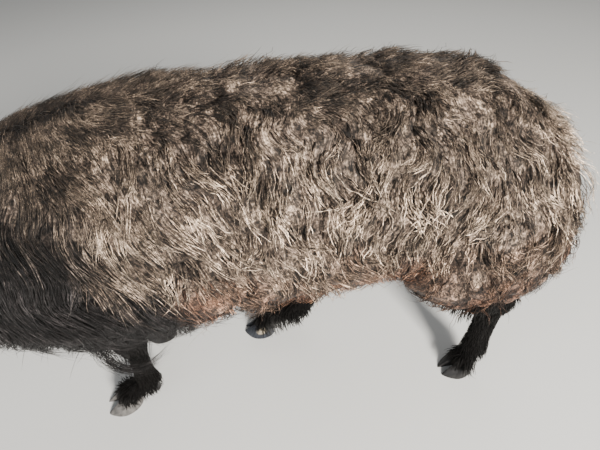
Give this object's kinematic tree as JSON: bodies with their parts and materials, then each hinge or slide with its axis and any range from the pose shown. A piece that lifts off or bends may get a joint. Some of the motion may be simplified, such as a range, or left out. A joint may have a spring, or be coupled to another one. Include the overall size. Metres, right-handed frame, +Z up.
{
  "type": "sheep",
  "caption": "Small dark-fleeced sheep, a short-tailed ewe, walking with her head lowered: a still, life-size model that stands on her hooves.",
  "frame": {"origin": "on the ground, under the middle of the whole sheep's bounding box", "axes": "+X forward, the way the sheep walks and faces; +Y to her left; +Z up"},
  "size_m": [1.0832, 0.3204, 0.5075],
  "materials": {
    "fleece": "dark brown-black wool with sun-bleached, grey-brown tips, crimped and matt",
    "short_hair": "short, close black hair with a faint sheen",
    "hoof_horn": "grey hoof horn, satin",
    "eye": "wet amber-brown eye with a level slot of a pupil"
  },
  "bodies": {
    "root": {"trunk_rump": "fleece", "trunk_barrel": "fleece", "trunk_shoulders": "fleece", "neck": "fleece", "thigh_left": "fleece", "thigh_right": "fleece", "tail": "fleece", "head": "short_hair", "ear_left": "short_hair", "eye_left": "eye", "ear_right": "short_hair", "eye_right": "eye", "leg_front_left": "short_hair", "claw_front_left_a": "hoof_horn", "dewclaw_front_left_a": "hoof_horn", "claw_front_left_b": "hoof_horn", "dewclaw_front_left_b": "hoof_horn", "leg_front_right": "short_hair", "claw_front_right_a": "hoof_horn", "dewclaw_front_right_a": "hoof_horn", "claw_front_right_b": "hoof_horn", "dewclaw_front_right_b": "hoof_horn", "leg_hind_left": "short_hair", "claw_hind_left_a": "hoof_horn", "dewclaw_hind_left_a": "hoof_horn", "claw_hind_left_b": "hoof_horn", "dewclaw_hind_left_b": "hoof_horn", "leg_hind_right": "short_hair", "claw_hind_right_a": "hoof_horn", "dewclaw_hind_right_a": "hoof_horn", "claw_hind_right_b": "hoof_horn", "dewclaw_hind_right_b": "hoof_horn"}
  },
  "joints": []
}
